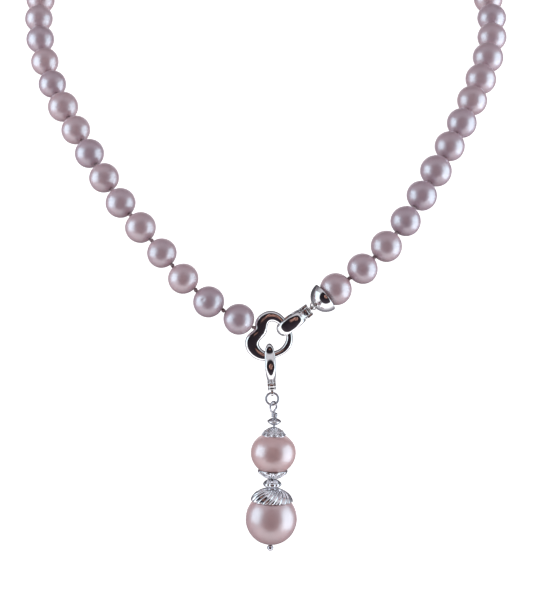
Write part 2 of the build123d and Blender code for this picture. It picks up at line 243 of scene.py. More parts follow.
def turned(profile, place, axis, steps=48, shape=None):
    """A (radius, height) profile turned about an axis. A profile from axis to axis is closed by its
    poles, any other is a closed ring section. shape may move each point by its angle."""
    profile = np.asarray(profile, float)
    first, second = square_to(axis)
    axis = unit(axis)
    rings = []
    for i in range(steps):
        angle = 2 * math.pi * i / steps
        section = profile if shape is None else np.array([shape(r, h, angle) for r, h in profile])
        spin = angle if section.shape[1] == 2 else angle + section[:, 2]
        out = np.outer(np.cos(spin), first) + np.outer(np.sin(spin), second)
        rings.append(place + out * section[:, :1] + np.outer(section[:, 1], axis))
    if profile[0][0] > 0:
        return skin(rings, around=True)
    count = len(profile)
    points = [rings[0][0][None], rings[0][-1][None]] + [ring[1:-1] for ring in rings]
    inner = count - 2
    faces = []
    for i in range(steps):
        here, there = 2 + i * inner, 2 + ((i + 1) % steps) * inner
        faces.append([0, here, there])
        faces.append([1, there + inner - 1, here + inner - 1])
        for k in range(inner - 1):
            faces.append([here + k, here + k + 1, there + k + 1, there + k])
    return np.vstack(points), faces


def rounded(corners, radius, steps=4):
    """A closed outline with its corners rounded."""
    corners = [np.asarray(corner, float) for corner in corners]
    outline = []
    for i, corner in enumerate(corners):
        before, after = corners[i - 1] - corner, corners[(i + 1) % len(corners)] - corner
        reach = min(radius, 0.45 * np.linalg.norm(before), 0.45 * np.linalg.norm(after))
        start, end = corner + unit(before) * reach, corner + unit(after) * reach
        for step in range(steps + 1):
            t = step / steps
            outline.append((1 - t) ** 2 * start + 2 * t * (1 - t) * corner + t * t * end)
    return np.array(outline)


def plate(outline, low, high, place_of, bevel=0.12):
    """A flat plate with rounded rims: an outline in two coordinates, with its depth in the third
    from low to high."""
    outline = np.asarray(outline, float)
    middle = outline.mean(0)
    size = np.abs(outline - middle).max()
    rings = []
    for share, depth in ((1.0, 0.0), (0.3, 0.3), (0.0, 1.0)):
        rings.append((1 - bevel * share / size, low + bevel * depth))
    rings += [(scale, high + low - depth) for scale, depth in reversed(rings)]
    made = []
    for scale, depth in rings:
        flat = middle + (outline - middle) * scale
        made.append(np.array([place_of(x, depth, y) for x, y in flat]))
    return skin(made)


# ---------------------------------------------------------------- materials
def new_material(name, slot):
    """A material with its nodes, its Principled shader and the record slot it belongs to."""
    material = bpy.data.materials.new(name)
    material.use_nodes = True
    material["slot"] = slot
    tree = material.node_tree
    return material, tree.nodes, tree.links, tree.nodes["Principled BSDF"]


def noise_node(nodes, links, scale, detail=3.0, roughness=0.5, distortion=0.0):
    """Noise in object coordinates, in features per metre."""
    where = nodes.new("ShaderNodeTexCoord")
    made = nodes.new("ShaderNodeTexNoise")
    made.inputs["Scale"].default_value = scale
    made.inputs["Detail"].default_value = detail
    made.inputs["Roughness"].default_value = roughness
    made.inputs["Distortion"].default_value = distortion
    links.new(where.outputs["Object"], made.inputs["Vector"])
    return made


def ramp_node(nodes, links, source, stops):
    """A colour ramp over a value."""
    made = nodes.new("ShaderNodeValToRGB")
    elements = made.color_ramp.elements
    while len(elements) < len(stops):
        elements.new(0.5)
    for element, (at, colour) in zip(elements, stops):
        element.position = at
        element.color = (*colour, 1.0)
    links.new(source, made.inputs["Fac"])
    return made


def mix_node(nodes, links, kind, amount, first, second):
    """Two colours mixed."""
    made = nodes.new("ShaderNodeMix")
    made.data_type = "RGBA"
    made.blend_type = kind
    made.inputs["Factor"].default_value = amount
    links.new(first, made.inputs["A"])
    links.new(second, made.inputs["B"])
    return made.outputs["Result"]


def bump_node(nodes, links, height, strength, distance, before=None):
    """Fine relief, distance in metres."""
    made = nodes.new("ShaderNodeBump")
    made.inputs["Strength"].default_value = strength
    made.inputs["Distance"].default_value = distance
    links.new(height, made.inputs["Height"])
    if before is not None:
        links.new(before, made.inputs["Normal"])
    return made.outputs["Normal"]


def nacre(name, slot, tones, cloud_scale):
    """Nacre: a mauve body under a glossy skin, with clouds, growth lines and a fine texture."""
    material, nodes, links, shader = new_material(name, slot)
    tone = nodes.new("ShaderNodeAttribute")
    tone.attribute_name = "tone"
    body = ramp_node(nodes, links, tone.outputs["Fac"], tones)
    clouds = noise_node(nodes, links, cloud_scale, 4.0, 0.55, 0.6)
    cloud_stops = [(0.3, (0.86, 0.85, 0.88)), (0.55, (0.97, 0.96, 0.97)), (0.75, (1.0, 1.0, 1.0))]
    shade = ramp_node(nodes, links, clouds.outputs["Fac"], cloud_stops)
    clouded = mix_node(nodes, links, "MULTIPLY", 0.8, body.outputs["Color"], shade.outputs["Color"])
    links.new(clouded, shader.inputs["Base Color"])
    gloss = ramp_node(nodes, links, clouds.outputs["Fac"], [(0.3, (0.42,) * 3), (0.7, (0.36,) * 3)])
    links.new(gloss.outputs["Color"], shader.inputs["Roughness"])
    skin_noise = noise_node(nodes, links, 2600, 3.0, 0.6)
    rings = noise_node(nodes, links, 420, 2.0, 0.5, 1.5)
    relief = bump_node(nodes, links, rings.outputs["Fac"], 0.10, 0.00025)
    relief = bump_node(nodes, links, skin_noise.outputs["Fac"], 0.08, 0.00006, relief)
    links.new(relief, shader.inputs["Normal"])
    links.new(relief, shader.inputs["Coat Normal"])
    shader.inputs["IOR"].default_value = 2.4
    shader.inputs["Specular Tint"].default_value = (0.86, 0.94, 1.0, 1.0)
    shader.inputs["Coat Weight"].default_value = 0.5
    shader.inputs["Coat Roughness"].default_value = 0.2
    shader.inputs["Coat IOR"].default_value = 1.5
    shader.inputs["Subsurface Weight"].default_value = 0.08
    shader.inputs["Subsurface Radius"].default_value = (0.0012, 0.0007, 0.0006)
    shader.inputs["Subsurface Scale"].default_value = 1.0
    return material


def silver(name, slot, colour, roughness, scratch):
    """Polished rhodium-plated silver with faint handling marks."""
    material, nodes, links, shader = new_material(name, slot)
    shader.inputs["Metallic"].default_value = 1.0
    wear = noise_node(nodes, links, 700, 5.0, 0.6)
    tint_stops = [(0.3, tuple(0.93 * c for c in colour)), (0.65, colour)]
    tint = ramp_node(nodes, links, wear.outputs["Fac"], tint_stops)
    links.new(tint.outputs["Color"], shader.inputs["Base Color"])
    rub_stops = [(0.35, (roughness,) * 3), (0.8, (roughness * 2.2,) * 3)]
    rub = ramp_node(nodes, links, wear.outputs["Fac"], rub_stops)
    links.new(rub.outputs["Color"], shader.inputs["Roughness"])
    marks = noise_node(nodes, links, 5200, 3.0, 0.6, 0.4)
    relief = bump_node(nodes, links, marks.outputs["Fac"], scratch, 0.00003)
    links.new(relief, shader.inputs["Normal"])
    return material


def silk_thread(name, slot):
    """Dyed silk cord with fibres."""
    material, nodes, links, shader = new_material(name, slot)
    fibre = noise_node(nodes, links, 5200, 4.0, 0.7, 1.2)
    dye_stops = [(0.3, (0.30, 0.19, 0.20)), (0.7, (0.50, 0.35, 0.37))]
    colour = ramp_node(nodes, links, fibre.outputs["Fac"], dye_stops)
    links.new(colour.outputs["Color"], shader.inputs["Base Color"])
    shader.inputs["Roughness"].default_value = 0.62
    shader.inputs["Sheen Weight"].default_value = 0.35
    shader.inputs["Sheen Roughness"].default_value = 0.4
    links.new(bump_node(nodes, links, fibre.outputs["Fac"], 0.6, 0.00008), shader.inputs["Normal"])
    return material


STRAND_TONES = [
    (0.0, (0.450, 0.278, 0.311)),
    (0.35, (0.480, 0.293, 0.317)),
    (0.7, (0.510, 0.308, 0.323)),
    (1.0, (0.545, 0.325, 0.335)),
]
PENDANT_TONES = [(0.0, (0.560, 0.335, 0.335)), (1.0, (0.640, 0.340, 0.308))]
strand_nacre = nacre("strand_nacre", "strand_pearl", STRAND_TONES, 260)
pendant_nacre = nacre("pendant_nacre", "pendant_pearl", PENDANT_TONES, 160)
polished = silver("polished_silver", "polished_silver", (0.86, 0.855, 0.86), 0.045, 0.05)
bright = silver("bright_silver", "bright_silver", (0.93, 0.92, 0.95), 0.08, 0.12)
wire_silver = silver("wire_silver", "bright_silver", (0.62, 0.61, 0.66), 0.10, 0.12)
silk = silk_thread("mauve_silk", "silk")


# ---------------------------------------------------------------- putting pieces in the scene
def add_piece(name, shape, material, body, nodes, tone=None, sharp=50):
    """A finished piece that stands for CAD nodes and rides on their body."""
    points, faces = shape
    mesh = bpy.data.meshes.new(name)
    mesh.from_pydata([tuple(point) for point in points], [], [tuple(face) for face in faces])
    build = bmesh.new()
    build.from_mesh(mesh)
    bmesh.ops.recalc_face_normals(build, faces=build.faces)
    build.to_mesh(mesh)
    build.free()
    mesh.shade_smooth()
    mesh.set_sharp_from_angle(angle=math.radians(sharp))
    if tone is not None:
        tones = mesh.attributes.new("tone", "FLOAT", "POINT")
        tones.data.foreach_set("value", np.asarray(tone, np.float32))
    mesh.materials.append(material)
    piece = bpy.data.objects.new(name, mesh)
    bpy.context.scene.collection.objects.link(piece)
    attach(piece, body)
    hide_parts(*nodes)
    return piece


# ---------------------------------------------------------------- pearls
BORE = 0.45 * MM


def pearl(
    centre, axis, half_length, radius, seed, bore=BORE, egg=0.0, lumps=0.012, around=64, along=40
):
    """One drilled pearl, grown a little off round. Egg widens the end that the axis points to."""
    mouth = math.asin(min(0.9, 1.25 * bore / radius))
    sweep = np.linspace(mouth, math.pi - mouth, along)
    profile = [(radius * math.sin(a), half_length * math.cos(a)) for a in sweep]
    top, bottom = profile[0][1], profile[-1][1]
    profile += [(1.06 * bore, bottom + 0.02 * MM), (bore, bottom + 0.12 * MM)]
    profile += [(bore, 0.0), (bore, top - 0.12 * MM), (1.06 * bore, top - 0.02 * MM)]
    points, faces = turned(profile, np.zeros(3), UP, around)
    height = points[:, 2] / half_length
    points[:, :2] *= (1 + egg * height)[:, None]
    offset = Vector((seed * 3.7, seed * 1.3, seed * 2.1))
    grown = []
    for point in points:
        place = Vector(point / radius)
        swell = noise.noise(place * 0.8 + offset) + 0.35 * noise.noise(place * 2.3 + offset)
        grown.append(point * (1 + lumps * swell))
    first, second = square_to(axis)
    turn = np.stack([first, second, unit(axis)])
    return centre + np.array(grown) @ turn, faces


def dent(shape, place, reach, depth):
    """A small pit pressed into a pearl."""
    points, faces = shape
    away = np.linalg.norm(points - place, axis=1)
    press = depth * np.exp(-((away / reach) ** 2))
    middle = (points.min(0) + points.max(0)) / 2
    inward = middle - points
    inward /= np.maximum(np.linalg.norm(inward, axis=1), 1e-9)[:, None]
    return points + inward * press[:, None], faces


def shuffled(index, kind):
    """A repeatable number between 0 and 1 for one pearl."""
    return (math.sin(index * 12.9898 + kind * 78.233) * 43758.5453) % 1.0


rows = sum(1 for node in frame["nodes"] if node.startswith("pearls_row_"))
nape_nodes = ["nape_pearls_left", "nape_pearls_back", "nape_pearls_right"]
strand = []
for row in range(rows, 0, -1):
    found = points_of(f"pearls_row_{row:02d}")
    strand.append((*ball_of(found[found[:, 0] < 0]), f"pearls_row_{row:02d}"))
nape_found = [(*ball_of(part), node) for node in nape_nodes for part in loose_parts(node)]
nape_middle = np.mean([centre for centre, _, _ in nape_found], axis=0) - np.array([0, 60 * MM, 0])
strand += sorted(nape_found, key=lambda one: -math.atan2(one[0][1] - nape_middle[1], one[0][0]))
for row in range(1, rows + 1):
    found = points_of(f"pearls_row_{row:02d}")
    strand.append((*ball_of(found[found[:, 0] > 0]), f"pearls_row_{row:02d}"))

centres = [centre for centre, _, _ in strand]
radii = [radius for _, radius, _ in strand]
knots = []
for here in range(len(strand) - 1):
    step = centres[here + 1] - centres[here]
    gap = np.linalg.norm(step) - radii[here] - radii[here + 1]
    knots.append(centres[here] + unit(step) * (radii[here] + gap / 2))
knots.insert(0, 2 * centres[0] - knots[0])
knots.append(2 * centres[-1] - knots[-1])

DEEP_DENT = 1  # the second pearl from the ring has the deepest pit
pearl_shapes = {}
pearl_tones = {}
for index, (centre, _, node) in enumerate(strand):
    axis = knots[index + 1] - knots[index]
    radius = radii[index]
    made = pearl(
        centre,
        axis,
        radius,
        radius * (1.012 + 0.03 * (shuffled(index, 1) - 0.4)),
        index + 1,
        egg=0.07 * (shuffled(index, 2) - 0.5),
        lumps=0.010 + 0.016 * shuffled(index, 3),
    )
    if shuffled(index, 4) > 0.55 or index == DEEP_DENT:
        aside = [1.6 * (shuffled(index, 5) - 0.5), 0, 1.6 * (shuffled(index, 6) - 0.5)]
        lean = FRONT + np.array([-0.35, 0, 0.3] if index == DEEP_DENT else aside)
        size = 1.0 if index == DEEP_DENT else 0.5
        made = dent(made, centre + unit(lean) * radius, (0.3 + 0.3 * size) * MM, 0.16 * size * MM)
    pearl_shapes.setdefault(node, []).append(made)
    pearl_tones.setdefault(node, []).append(np.full(len(made[0]), shuffled(index, 7)))
for node, shapes in pearl_shapes.items():
    body = frame["nodes"][node]["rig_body"]
    name = node.replace("pearls_row", "strand_pearls_row")
    name = name.replace("nape_pearls", "strand_pearls_nape")
    add_piece(name, join(*shapes), strand_nacre, body, [node], np.concatenate(pearl_tones[node]))

# ---------------------------------------------------------------- silk
KNOT_CORD = 0.21 * MM
THREAD = 0.24 * MM


def silk_knot(place, axis, turn, size=1.0):
    """A tight overhand knot on the thread."""
    first, second = square_to(axis)
    axis = unit(axis)
    path = []
    for t in np.linspace(0, 2 * math.pi, 72, endpoint=False):
        x = math.sin(t) + 2 * math.sin(2 * t)
        y = math.cos(t) - 2 * math.cos(2 * t)
        a = math.cos(turn) * x - math.sin(turn) * y
        b = math.sin(turn) * x + math.cos(turn) * y
        side = 0.14 * MM * size
        weave = axis * math.sin(3 * t) * 0.27 * MM * size
        path.append(place + first * a * side + second * b * side - weave)
    return wire(path, KNOT_CORD * size, closed=True, sides=10)


def thread(start, end, radius=THREAD):
    """The thread between two points."""
    return wire([start + (end - start) * t for t in (0, 0.25, 0.5, 0.75, 1)], radius, sides=10)


def add_row_silk(row, parts):
    """The silk of one row as a piece."""
    ends = f"row_{row:02d}"
    add_piece(f"knots_{ends}", join(*parts), silk, ends, [f"silk_{ends}"])


count = len(strand)
for row in range(1, rows + 1):
    left, right = rows + 1 - row, count - rows - 1 + row
    parts = []
    for knot, toward in ((left, left - 1), (right, right + 1)):
        axis = knots[toward] - knots[knot]
        parts.append(silk_knot(knots[knot], axis, 1.7 * knot))
        stop = knots[toward] - unit(axis) * 0.5 * MM
        if toward != count:
            parts.append(thread(knots[knot], stop))
    if row < rows:
        add_row_silk(row, parts)
    else:
        last_row_silk = parts

nape_first, nape_last = rows, count - rows
parts = []
for index in range(nape_first + 1, nape_last):
    parts.append(silk_knot(knots[index], knots[index + 1] - knots[index], 2.3 * index))
for index in range(nape_first, nape_last):
    inset = unit(knots[index + 1] - knots[index]) * 0.62 * MM
    parts.append(thread(knots[index] + inset, knots[index + 1] - inset))
add_piece("knots_nape", join(*parts), silk, "nape", ["nape_silk"])

# ---------------------------------------------------------------- clasp ring
ring_low, ring_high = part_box("clasp_ring")
ring_middle = (np.array(ring_low) + np.array(ring_high)) / 2
ring_half_depth = (ring_high[1] - ring_low[1]) / 2
RING_STEPS = 256
RING_WAVES = 22
RING_SQUARENESS = 2.7

ring_mesh = frame["nodes"]["clasp_ring"].data
ring_faces = [tuple(face.vertices) for face in ring_mesh.polygons]
ring_tree = BVHTree.FromPolygons([vertex.co for vertex in ring_mesh.vertices], ring_faces)
inner_reach = []
outer_reach = []
for step in range(RING_STEPS):
    angle = 2 * math.pi * step / RING_STEPS
    ray = Vector((math.cos(angle), 0, math.sin(angle)))
    start = Vector(ring_middle) + Vector((0, 0.4 * ring_half_depth, 0))
    hits = []
    travelled = 0.0
    hit = ring_tree.ray_cast(start, ray)
    while hit[0] is not None:
        travelled += hit[3]
        hits.append(travelled)
        travelled += 1e-5
        hit = ring_tree.ray_cast(start + ray * travelled, ray)
    inner_reach.append(hits[0])
    outer_reach.append(hits[-1])


def low_pass(values, waves):
    """A closed curve of values without its finest waves."""
    spectrum = np.fft.rfft(values)
    spectrum[waves:] = 0
    return np.fft.irfft(spectrum, len(values))


def fuller(cosine, squareness):
    """Cosine of a superellipse, which is squarer than a circle."""
    return math.copysign(abs(cosine) ** (2 / squareness), cosine)


inner_reach = low_pass(inner_reach, RING_WAVES)
outer_reach = low_pass(outer_reach, RING_WAVES)
rings = []
for step in range(RING_STEPS):
    angle = 2 * math.pi * step / RING_STEPS
    ray = np.array([math.cos(angle), 0, math.sin(angle)])
    middle = (inner_reach[step] + outer_reach[step]) / 2
    half = (outer_reach[step] - inner_reach[step]) / 2
    ring = []
    for k in range(36):
        turn = 2 * math.pi * k / 36
        out = middle + half * fuller(math.cos(turn), RING_SQUARENESS)
        depth = ring_half_depth * fuller(math.sin(turn), RING_SQUARENESS)
        ring.append(ring_middle + ray * out + FRONT * depth)
    rings.append(np.array(ring))
add_piece("lobed_clasp_ring", skin(rings, around=True), polished, "clasp", ["clasp_ring"])

first_axis = unit(knots[0] - knots[1])
ring_silk = join(
    silk_knot(knots[0] - first_axis * 0.05 * MM, first_axis, 0.4, 0.85),
    thread(knots[0], knots[0] + first_axis * 1.2 * MM, 0.22 * MM),
)
add_piece("knot_at_clasp_ring", ring_silk, silk, "clasp", ["ring_knot"])

# ---------------------------------------------------------------- cup on the last right pearl
CUP_RADIUS = 4.05 * MM
CUP_WALL = 0.6 * MM
CUP_CENTRE = 3.4 * MM
CUP_RIM = 3.4 * MM
CUP_LIP = 0.5 * MM
BAIL_RADIUS = 0.95 * MM
BAIL_WIRE = 0.2 * MM
CUP_HOLE_TILT = math.radians(46)

cup_axis = unit(knots[-1] - knots[-2])
cup_pearl = centres[-1]
cup_side = unit(np.cross(cup_axis, FRONT))
cup_front = unit(np.cross(cup_side, cup_axis))
rim_angle = math.acos((CUP_RIM - CUP_CENTRE) / CUP_RADIUS)
seat = radii[-1] * math.sqrt(max(0.0, 1 - (CUP_RIM / radii[-1]) ** 2)) + 0.05 * MM
cup_profile = [
    (CUP_RADIUS * math.sin(a), CUP_CENTRE + CUP_RADIUS * math.cos(a))
    for a in np.linspace(0, rim_angle - 0.03, 24)
]
lip_out = CUP_RADIUS - 0.05 * MM
lip_top = CUP_RIM + CUP_LIP
cup_profile += [(lip_out, CUP_RIM + 0.06 * MM), (lip_out - 0.08 * MM, CUP_RIM)]
cup_profile += [(seat + 0.12 * MM, CUP_RIM), (seat, CUP_RIM + 0.12 * MM)]
cup_profile += [(seat, lip_top - 0.1 * MM), (seat + 0.1 * MM, lip_top)]
inner_radius = CUP_RADIUS - CUP_WALL
inner_angle = math.acos((CUP_RIM + CUP_LIP - CUP_CENTRE) / inner_radius)
cup_profile += [
    (inner_radius * math.sin(a), CUP_CENTRE + inner_radius * math.cos(a))
    for a in np.linspace(inner_angle, 0, 14)
]
cup_profile[0] = (0.0, cup_profile[0][1])
cup_profile[-1] = (0.0, cup_profile[-1][1])
cup = turned(cup_profile, cup_pearl, cup_axis, 72)

hook_anchor = cup_pearl + cup_axis * (CUP_CENTRE + CUP_RADIUS - 0.1 * MM + BAIL_RADIUS)
bail_path = []
for t in np.linspace(-0.62 * math.pi, 0.62 * math.pi, 40):
    bail_way = cup_axis * (BAIL_RADIUS * (1 - math.cos(t)))
    bail_path.append(hook_anchor - bail_way + cup_side * BAIL_RADIUS * math.sin(t))
bail = wire(bail_path, BAIL_WIRE)
cup_middle = cup_pearl + cup_axis * CUP_CENTRE
hole_way = cup_axis * math.cos(CUP_HOLE_TILT) + cup_front * math.sin(CUP_HOLE_TILT)
hole_place = cup_middle + hole_way * (CUP_RADIUS + 0.02 * MM)
hole_first, hole_second = square_to(hole_way)
eyelet_path = [
    hole_place + (hole_first * math.cos(t) + hole_second * math.sin(t)) * 0.62 * MM
    for t in np.linspace(0, 2 * math.pi, 40, endpoint=False)
]
eyelet = wire(eyelet_path, 0.13 * MM, closed=True)
add_piece("half_ball_end_cup", join(cup, bail, eyelet), polished, f"row_{rows:02d}", ["end_cup"])
last_row_silk.append(silk_knot(hole_place + hole_way * 0.02 * MM, hole_way, 1.1, 0.85))
last_row_silk.append(thread(knots[-2], hole_place - hole_way * 0.2 * MM))
add_row_silk(rows, last_row_silk)


# ---------------------------------------------------------------- hinged clips
def clip(name, hinge, title, bodies, size):
    """The fixed leaf, the gate and the hinge pin of one clip, from its hinge joint. Sizes are in
    millimetres, and lengths are from its tail eye."""
    pin = np.array(joints[hinge]["pos_m"])
    across = unit(joints[hinge]["axis"])
    along = np.cross(FRONT, across)

    def place_of(u, a, f):
        return pin + along * (u * MM) + across * (a * MM) + FRONT * (f * MM)

    half, width, pin_at = size["depth"] / 2, size["width"], size["pin_at"]
    nose, tip = size["nose_at"] - pin_at, size["length"] - pin_at
    middle = size["middle_at"] - pin_at
    nose_inner, nose_half = size["nose_inner"], size["nose_share"] * half
    shoulder = size["shoulder_share"] * half
    arch = size["arch_radius"]
    outer = [(0.95, 0.98), (1.45, shoulder)]
    for step in (-1.2, 0, 1.2, 2.3):
        outer.append((middle + step, half - arch + math.sqrt(arch**2 - step**2)))
    outer.append((nose, nose_half))
    outer += [(tip - back, rise) for back, rise in size["tip_line"]] + [(tip, 0.03)]
    outer = smooth_line(outer, 48)
    inner = [(1.35, 0.2), (2.1, 0.75), (middle, half - 0.85), (nose, nose_inner)]
    inner += [(nose + 0.76 * nose_inner, 0.56 * nose_inner), (nose + 0.97 * nose_inner, 0.03)]
    inner = smooth_line(inner, 48)
    share = np.linspace(0, 1, 48)
    half_width = np.interp(share, [0, 0.12, 0.45, 0.7, 0.88, 1], size["widths"]) * width
    half_width = low_pass_open(half_width)
    leaves = {}
    for side in (1, -1):
        rings = []
        for (ou, of), (iu, inn), w in zip(outer, inner, half_width):
            ring = []
            for k in range(32):
                turn = 2 * math.pi * k / 32
                a = w * fuller(math.cos(turn), 2.2 if math.sin(turn) > 0 else 3.5)
                rise = fuller(math.sin(turn), 2.2) if math.sin(turn) > 0 else 0.16 * math.sin(turn)
                rise = (rise + 0.16) / 1.16
                ring.append(place_of(iu + (ou - iu) * rise, a, side * (inn + (of - inn) * rise)))
            rings.append(np.array(ring))
        leaves[side] = skin(rings)

    cheek = size["cheek"] * width

    def rim(low, high, radius, bore):
        section = rounded([(bore, low), (radius, low), (radius, high), (bore, high)], 0.12)
        return turned([(r * MM, a * MM) for r, a in section], pin, across, 40)

    knuckle = size["knuckle"]
    knuckle_gap = knuckle + 0.05
    body_parts = [leaves[-1]]
    for low, high in ((knuckle_gap, cheek), (-cheek, -knuckle_gap)):
        body_parts.append(rim(low, high, 0.95, 0.41))
        tail_arm = rounded([(-1.3, -0.75), (0.1, -0.9), (0.1, 0.9), (-1.3, 0.75)], 0.2)
        body_parts.append(plate(tail_arm, low, high, place_of))
        back_arm = rounded([(0, -0.93), (2.0, -1.35), (2.0, -0.65), (1.0, -0.1), (0, 0.3)], 0.2)
        body_parts.append(plate(back_arm, low, min(high, cheek), place_of))
    tail = rounded([(0.5 - pin_at, -0.5), (-1.02, -0.75), (-1.02, 0.75), (0.5 - pin_at, 0.5)], 0.15)
    body_parts.append(plate(tail, -cheek, cheek, place_of))
    eye_middle = pin - along * pin_at * MM
    (eye_in, eye_out), eye_half = size["eye"], size["eye_half"]
    eye_corners = [(eye_in, -eye_half), (eye_out, -eye_half)]
    eye_corners += [(eye_out, eye_half), (eye_in, eye_half)]
    eye_section = [(r * MM, a * MM) for r, a in rounded(eye_corners, 0.13)]
    body_parts.append(turned(eye_section, eye_middle, across, 40))
    add_piece(f"{title}_fixed_leaf", join(*body_parts), polished, bodies[0], [f"{name}_body"])

    web = rounded([(0.2, 0.35), (1.0, 0.2), (1.9, 0.9), (1.5, 0.97 * shoulder), (0.3, 0.93)], 0.15)
    gate_parts = [
        leaves[1],
        rim(-knuckle, knuckle, 0.95, 0.43),
        plate(web, 0.02 - knuckle, knuckle - 0.02, place_of),
    ]
    add_piece(f"{title}_gate_leaf", join(*gate_parts), polished, bodies[1], [f"{name}_gate"])

    end = cheek + 0.05
    pin_section = [(0.0, end), (0.2, end), (0.34, end - 0.04), (0.39, end - 0.12), (0.39, 0.0)]
    pin_section += [(0.39, 0.12 - end), (0.34, 0.04 - end), (0.2, -end), (0.0, -end)]
    rivet = turned([(r * MM, a * MM) for r, a in pin_section], pin, across, 32)
    add_piece(f"{title}_hinge_rivet", rivet, bright, bodies[0], [f"{name}_hinge_pin"])


def low_pass_open(values, rounds=6):
    """Open values smoothed between their ends."""
    values = np.array(values, float)
    for _ in range(rounds):
        values[1:-1] = (values[:-2] + 2 * values[1:-1] + values[2:]) / 4
    return values


HOOK = {
    "length": 10.95,
    "pin_at": 1.75,
    "middle_at": 5.6,
    "nose_at": 8.46,
    "nose_inner": 1.55,
    "depth": 5.2,
    "nose_share": 0.93,
    "shoulder_share": 0.78,
    "width": 3.8,
    "widths": [0.45, 0.48, 0.5, 0.49, 0.44, 0.3],
    "cheek": 0.44,
    "eye": (0.42, 0.75),
    "eye_half": 0.4,
    "arch_radius": 20.0,
    "tip_line": [(0.25, 1.06)],
    "knuckle": 0.95,
}
ENHANCER = {
    "length": 13.12,
    "pin_at": 2.0,
    "middle_at": 6.5,
    "nose_at": 9.92,
    "nose_inner": 1.5,
    "depth": 7.0,
    "nose_share": 0.66,
    "shoulder_share": 0.62,
    "width": 2.9,
    "widths": [0.34, 0.42, 0.5, 0.49, 0.42, 0.3],
    "cheek": 0.38,
    "eye": (0.6, 0.95),
    "eye_half": 0.35,
    "arch_radius": 5.3,
    "tip_line": [(1.72, 1.50), (0.32, 0.86)],
    "knuckle": 0.55,
}
clip("hook", "hook_gate_hinge", "hook", ("clasp", "hook_gate"), HOOK)
clip("enhancer", "enhancer_gate_hinge", "enhancer", ("enhancer", "enhancer_gate"), ENHANCER)

# ---------------------------------------------------------------- jump ring
JUMP_WIRE = 0.32 * MM
jump_low, jump_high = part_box("jump_ring")
jump_middle = (np.array(jump_low) + np.array(jump_high)) / 2
jump_radius = (jump_high[2] - jump_low[2]) / 2 - JUMP_WIRE
jump_path = [
    jump_middle + np.array([math.cos(t), 0, math.sin(t)]) * jump_radius
    for t in np.linspace(math.radians(2), math.radians(358), 72)
]
jump_ring = wire(jump_path, JUMP_WIRE, sides=16)
add_piece("round_jump_ring", jump_ring, wire_silver, "jump_ring", ["jump_ring"])

# ---------------------------------------------------------------- pendant
pin_foot = np.array(joints["upper_pearl_spin"]["pos_m"])
pin_up = unit(joints["upper_pearl_spin"]["axis"])
pin_right = unit(np.cross(np.array([0.0, 1.0, 0.0]), pin_up))
pin_back = np.cross(pin_up, pin_right)


def on_pin(radius, height, angle=0.0):
    """A point of the pendant by radius and height in millimetres, and angle from its right side."""
    out = pin_right * math.cos(angle) + pin_back * math.sin(angle)
    return pin_foot + out * (radius * MM) + pin_up * (height * MM)


def bead(profile, steps=64, shape=None):
    """A bead on the head pin from its section in millimetres."""
    section = [(r * MM, h * MM) for r, h in profile]
    return turned(section, pin_foot, pin_up, steps, shape)


ball = [(0.85 * math.sin(a), 0.85 * math.cos(a)) for a in np.linspace(math.pi, 0, 18)]
ball[0], ball[-1] = (0.0, -0.85), (0.0, 0.85)
shaft = wire([on_pin(0, h) for h in np.linspace(0.5, 35.6, 12)], 0.3 * MM)
WRAP_BOTTOM, WRAP_PITCH, WRAP_TURNS, WRAP_RADIUS = 35.4, 0.45, 2.6, 0.56
wrap_path = []
for t in np.linspace(0, 1, 110):
    wrap_height = WRAP_BOTTOM + WRAP_PITCH * WRAP_TURNS * t
    wrap_path.append(on_pin(WRAP_RADIUS, wrap_height, 2 * math.pi * WRAP_TURNS * t + 0.6))
loop_turn = math.radians(50)
loop_side = np.array([math.cos(loop_turn), math.sin(loop_turn), 0])
loop_middle = on_pin(0, 38.25) - np.array([0.35 * MM, 0, 0])
loop_points = [
    on_pin(0, 35.3),
    on_pin(0, 36.3),
    loop_middle - UP * 1.35 * MM + loop_side * 0.35 * MM,
    loop_middle - UP * 0.55 * MM + loop_side * 1.2 * MM,
    loop_middle + UP * 0.45 * MM + loop_side * 1.15 * MM,
    loop_middle + UP * 1.3 * MM + loop_side * 0.1 * MM,
    loop_middle + UP * 0.5 * MM - loop_side * 1.15 * MM,
    loop_middle - UP * 0.5 * MM - loop_side * 1.2 * MM,
    loop_middle - UP * 1.3 * MM - loop_side * 0.55 * MM,
    wrap_path[-1] + pin_up * 0.15 * MM,
]
loop = wire(smooth_line(loop_points, 90), 0.27 * MM)
head_pin = join(bead(ball, 36), shaft, wire(wrap_path, 0.26 * MM), loop)
add_piece("wrapped_head_pin", head_pin, wire_silver, "pendant", ["head_pin"])

for name, seed, height, half, radius, egg, body in (
    ("lower_pendant_pearl", 71, 7.95, 7.05, 6.84, 0.0, "lower_pearl_group"),
    ("upper_pendant_pearl", 63, 25.6, 5.6, 6.0, 0.05, "upper_pearl_group"),
):
    middle = on_pin(0, height)
    made = pearl(middle, pin_up, half * MM, radius * MM, seed, 0.5 * MM, egg, 0.008, 96, 60)
    tones = np.full(len(made[0]), 0.75 if "upper" in name else 0.35)
    add_piece(name, made, pendant_nacre, body, [name.replace("_pendant", "")], tones)

# ---------------------------------------------------------------- swirl cap
SWIRL_RIBS = 18
SWIRL_TURN = math.radians(42)
swirl_line = [(0.75, 16.0), (1.9, 15.95), (3.4, 15.35), (4.65, 14.45), (5.25, 13.6), (5.5, 12.95)]
swirl_line = smooth_line(swirl_line, 22)


